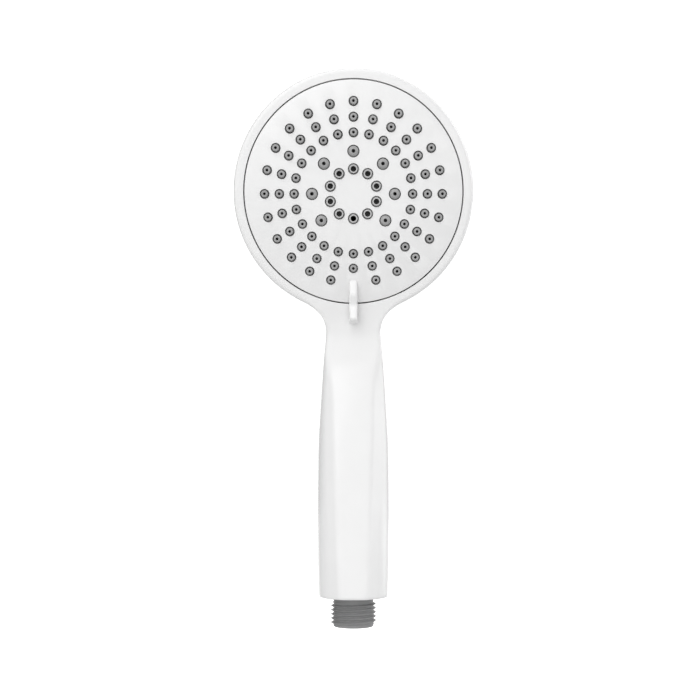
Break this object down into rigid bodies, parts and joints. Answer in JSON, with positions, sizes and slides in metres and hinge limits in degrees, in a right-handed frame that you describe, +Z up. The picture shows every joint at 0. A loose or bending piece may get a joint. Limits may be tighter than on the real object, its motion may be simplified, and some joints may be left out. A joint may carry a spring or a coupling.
{
  "type": "handheld shower head",
  "caption": "Round white hand shower with a flat nozzle face that turns on a lever to choose the spray, a one-piece handle and a grey male-thread inlet.",
  "frame": {"origin": "centre of the threaded inlet's end face", "axes": "+Z up along the handle's axis, the spray face looks towards -Y and 23.56 degrees downwards, +X to the right of someone who looks at the spray face"},
  "size_m": [0.1142, 0.0799, 0.2518],
  "materials": {
    "white_shell": "gloss white ABS",
    "grey_inlet": "satin grey acetal",
    "grey_silicone": "satin grey silicone",
    "light_grey_plastic": "satin light grey moulding",
    "dark_acetal": "satin dark grey acetal",
    "black_rubber": "matte black rubber",
    "steel": "stainless steel"
  },
  "bodies": {
    "body": {"body_shell": "white_shell", "inlet_tube": "grey_inlet", "filter_screen": "steel", "flow_regulator_body": "light_grey_plastic", "flow_regulator_ring": "black_rubber", "check_valve_cage": "light_grey_plastic", "check_valve_oring": "black_rubber", "check_valve_spring": "steel", "tube_oring_1": "black_rubber", "tube_oring_2": "black_rubber", "valve_body": "dark_acetal", "valve_body_screw_1": "steel", "valve_body_screw_2": "steel", "valve_body_screw_3": "steel", "valve_body_screw_4": "steel", "port_seal": "black_rubber", "port_seal_spring": "steel", "detent_spring": "steel", "pivot_washer": "steel", "pivot_screw": "steel"},
    "spray_face": {"face_plate": "white_shell", "selector_lever": "white_shell", "nozzle_mat": "grey_silicone", "centre_jet_disc": "light_grey_plastic", "distributor_plate": "dark_acetal", "channel_gasket": "black_rubber", "channel_plate": "dark_acetal", "rotor_screw_1": "steel", "rotor_screw_2": "steel", "rotor_screw_3": "steel", "rotor_screw_4": "steel"},
    "check_valve": {"check_valve_poppet": "dark_acetal"}
  },
  "joints": [
    {"name": "spray_face_turn", "type": "hinge", "parent": "body", "child": "spray_face", "pos_m": [0, -0.0431, 0.1971], "axis": [0, -0.9166, -0.3997], "range_deg": [-30, 30], "deforming": ["detent_spring"]},
    {"name": "check_valve_lift", "type": "slide", "parent": "body", "child": "check_valve", "axis": [0, 0, 1], "range_m": [0, 0.0025], "stiffness_N_per_m": 100, "springref_m": -0.008, "deforming": ["check_valve_spring"]}
  ]
}
